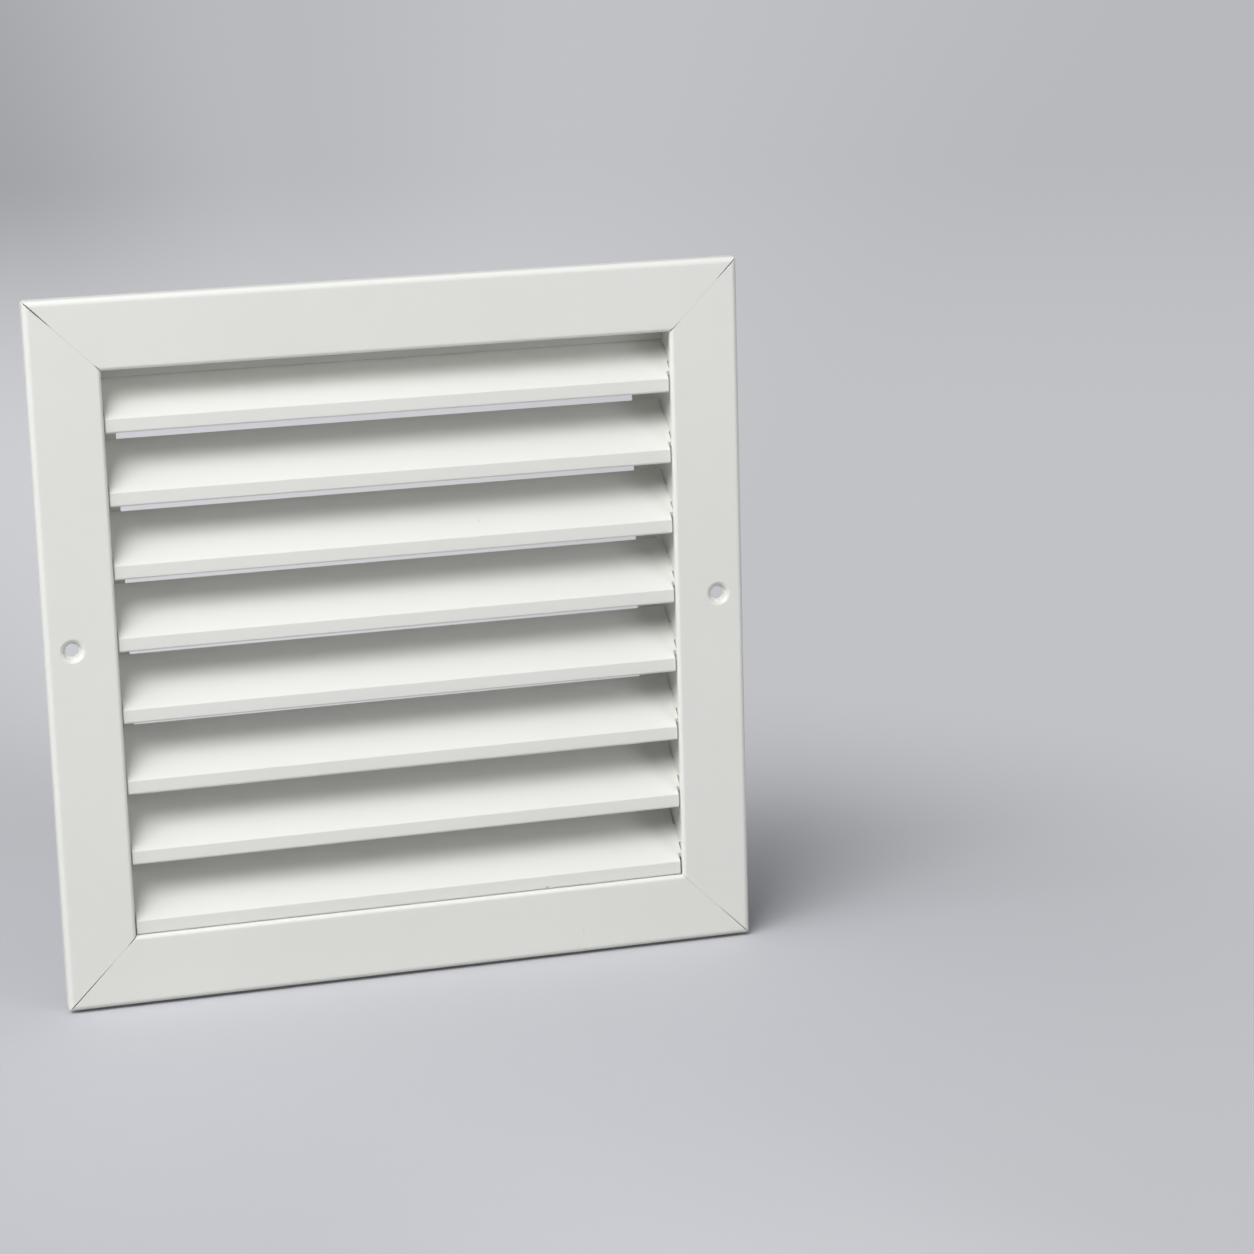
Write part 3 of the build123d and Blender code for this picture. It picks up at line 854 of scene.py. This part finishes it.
rivets = oneRivet()
runTree(rivets, rivetRowsTree(), {
    "Rail Spacing": -2 * (rivetLow.z + rivet["headRadius"] * mm),
    "Rail Depth": rivetHigh.y - rivet["headRadius"] * mm,
    "Strip Spacing": rivet["stripSpacing"] * mm, "Strip Depth": rivetLow.y + rivet["headRadius"] * mm,
    "Metal": rivetMetal,
})
smoothFaces(rivets)
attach(rivets, "root")
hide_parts("neck_rivets")
print("rivets", len(rivets.data.polygons), "faces")


# Rails, closing strip and corner keys keep their imported shapes

# The closing strip gets the darker coat that paints its shade under the top frame length.
packedCoats = {"side_rail": railCoat, "top_closing": stripPaintedShadeCoat, "corner_key": keyMetal}
for name, node in frame["nodes"].items():
    for start, coat in packedCoats.items():
        if name.startswith(start):
            node.data.materials.clear()
            node.data.materials.append(coat)
print("rails, strip and keys finished")


# Floor, light and camera

floorLook = {
    "halfSide": 30.0, "drop": 1.0, "light": (0.580, 0.587, 0.612, 1), "dark": (0.560, 0.567, 0.592, 1),
    "bounce": (0.42, 0.42, 0.42, 1), "mottleScale": 9.0, "mottleDetail": 5.0,
    "roughness": 0.6, "specular": 0.2,
    "litTo": 0.16, "nearFrom": 0.46, "nearTo": 0.9, "farFrom": 3.0,    # metres from the grille
    "tint": (1.0, 1.02, 1.07), "bearings": 0.5,    # X over distance at the ends of the tone rows
    # The backdrop's glow tones are painted light: brighter near the grille, darker with distance and towards
    # the sides, most to the left.
    "nearTones": ((-0.4, 0.50), (0.05, 0.62), (0.2, 0.60), (0.45, 0.53)),
    "farTones": ((0.04, 0.36), (0.16, 0.48), (0.27, 0.525), (0.47, 0.475)),
}
studio = {                 # every lamp faces the middle of the grille
    "lampTone": (0.978, 0.982, 1.0),
    "key": {"place": (-1.091, -1.300, 1.697), "side": 1.3, "power": 45.2},
    "side": {"place": (-2.008, -0.538, 1.200), "side": 1.2, "power": 20.3},
    "overhead": {"place": (0, -0.417, 2.364), "side": 1.6, "power": 6.1},
    "fill": {"place": (1.509, -1.798, 0.499), "side": 1.0, "power": 11.4},
    "worldTone": (0.50, 0.51, 0.53, 1), "worldLight": 0.24, "worldSeen": 1.0,
}
photoView = {
    "place": (-0.24014, -1.16318, 0.28083), "aim": (0.0812, -0.006, -0.0050), "roll": math.radians(-1.596),
    "lens": 99.2, "sensor": 36.0, "clip": (0.01, 200.0),
}


def backdropRays(tree):    # 1 where the backdrop is seen: straight, in gloss or through glass
    path = addNode(tree, "ShaderNodeLightPath")
    seen = path.outputs["Is Camera Ray"]
    for ray in ("Is Glossy Ray", "Is Transmission Ray"):
        either = addNode(tree, "ShaderNodeMath", operation="MAXIMUM")
        tree.links.new(seen, either.inputs[0])
        tree.links.new(path.outputs[ray], either.inputs[1])
        seen = either.outputs[0]
    return seen


def addFloor():
    half, level = floorLook["halfSide"], cadBox[0].z - floorLook["drop"] * mm
    mesh = bmesh.new()
    corners = ((-half, -half), (half, -half), (half, half), (-half, half))
    mesh.faces.new(addRing(mesh, [(across, depth, level) for across, depth in corners]))
    floor = newObject("studio_floor", mesh)
    material = bpy.data.materials.new("paleFloor")
    material.use_nodes = True
    tree = material.node_tree
    link = tree.links.new
    shader = tree.nodes["Principled BSDF"]
    shader.inputs["Roughness"].default_value = floorLook["roughness"]
    shader.inputs["Specular IOR Level"].default_value = floorLook["specular"]
    where = addNode(tree, "ShaderNodeTexCoord")
    mottle = addNode(tree, "ShaderNodeTexNoise",
                     {"Scale": floorLook["mottleScale"], "Detail": floorLook["mottleDetail"]})
    blend = addNode(tree, "ShaderNodeMix", data_type="RGBA")
    blend.inputs[mixFirst].default_value = floorLook["dark"]
    blend.inputs[mixSecond].default_value = floorLook["light"]
    link(where.outputs["Object"], mottle.inputs["Vector"])
    link(mottle.outputs["Fac"], blend.inputs["Factor"])
    seen = backdropRays(tree)
    shown = addNode(tree, "ShaderNodeMix", data_type="RGBA")
    shown.inputs[mixFirst].default_value = floorLook["bounce"]
    link(seen, shown.inputs["Factor"])
    link(blend.outputs[mixResult], shown.inputs[mixSecond])
    link(shown.outputs[mixResult], shader.inputs["Base Color"])
    away = addNode(tree, "ShaderNodeVectorMath", operation="LENGTH")
    link(where.outputs["Object"], away.inputs[0])
    bareSpan = {"From Min": floorLook["litTo"], "From Max": floorLook["nearFrom"]}
    farSpan = {"From Min": floorLook["nearTo"], "From Max": floorLook["farFrom"]}
    bare = addNode(tree, "ShaderNodeMapRange", bareSpan, interpolation_type=smooth)
    far = addNode(tree, "ShaderNodeMapRange", farSpan, interpolation_type=smooth)
    split = addNode(tree, "ShaderNodeSeparateXYZ")
    link(where.outputs["Object"], split.inputs[0])
    bearing = addNode(tree, "ShaderNodeMath", operation="DIVIDE")
    link(split.outputs["X"], bearing.inputs[0])
    link(away.outputs["Value"], bearing.inputs[1])
    sideways = addNode(tree, "ShaderNodeMapRange",
                       {"From Min": -floorLook["bearings"], "From Max": floorLook["bearings"]})
    link(bearing.outputs[0], sideways.inputs["Value"])
    for reach in (bare, far):
        link(away.outputs["Value"], reach.inputs["Value"])
    # The backdrop glows in tones that paint the falloff of light across the floor.
    backdrop = addNode(tree, "ShaderNodeMix", data_type="RGBA")
    link(far.outputs["Result"], backdrop.inputs["Factor"])
    for tones, socket in (("nearTones", mixFirst), ("farTones", mixSecond)):
        row = addNode(tree, "ShaderNodeValToRGB")
        row.color_ramp.interpolation = "EASE"
        while len(row.color_ramp.elements) < len(floorLook[tones]):
            row.color_ramp.elements.new(1.0)
        for stop, (turn, tone) in zip(row.color_ramp.elements, floorLook[tones]):
            stop.position = turn / floorLook["bearings"] / 2 + 0.5
            stop.color = (*(tone * part for part in floorLook["tint"]), 1)
        link(sideways.outputs["Result"], row.inputs["Fac"])
        link(row.outputs["Color"], backdrop.inputs[socket])
    glow = addNode(tree, "ShaderNodeEmission")
    link(backdrop.outputs[mixResult], glow.inputs["Color"])
    share = addNode(tree, "ShaderNodeMath", operation="MULTIPLY")
    link(seen, share.inputs[0])
    link(bare.outputs["Result"], share.inputs[1])
    both = addNode(tree, "ShaderNodeMixShader")
    link(share.outputs[0], both.inputs["Fac"])
    link(shader.outputs[0], both.inputs[1])
    link(glow.outputs[0], both.inputs[2])
    link(both.outputs[0], tree.nodes["Material Output"].inputs["Surface"])
    floor.data.materials.append(material)


def addSoftbox(name, box):
    lamp = bpy.data.lights.new(name, "AREA")
    lamp.size, lamp.energy, lamp.color = box["side"], box["power"], studio["lampTone"]
    holder = bpy.data.objects.new(name, lamp)
    holder.location = box["place"]
    holder.rotation_euler = (-Vector(box["place"])).to_track_quat("-Z", "Y").to_euler()
    scene.collection.objects.link(holder)


def addWorld():
    world = bpy.data.worlds.new("studioWorld")
    world.use_nodes = True
    tree = world.node_tree
    background = tree.nodes["Background"]
    background.inputs["Color"].default_value = studio["worldTone"]
    strength = addNode(tree, "ShaderNodeMapRange",
                       {"To Min": studio["worldLight"], "To Max": studio["worldSeen"]})
    tree.links.new(backdropRays(tree), strength.inputs["Value"])
    tree.links.new(strength.outputs["Result"], background.inputs["Strength"])
    scene.world = world


def addCamera():
    lens = bpy.data.cameras.new("photoCamera")
    lens.lens, lens.sensor_width = photoView["lens"], photoView["sensor"]
    lens.clip_start, lens.clip_end = photoView["clip"]
    camera = bpy.data.objects.new("photoCamera", lens)
    place = Vector(photoView["place"])
    level = (Vector(photoView["aim"]) - place).to_track_quat("-Z", "Y")
    camera.location = place
    camera.rotation_mode = "QUATERNION"
    camera.rotation_quaternion = level @ Quaternion((0, 0, 1), photoView["roll"])
    scene.collection.objects.link(camera)
    scene.camera = camera


addFloor()
for name in ("key", "side", "overhead", "fill"):
    addSoftbox(name, studio[name])
addWorld()
addCamera()
scene.view_settings.view_transform = "Standard"
print("floor, light and camera placed")

bpy.context.view_layer.update()
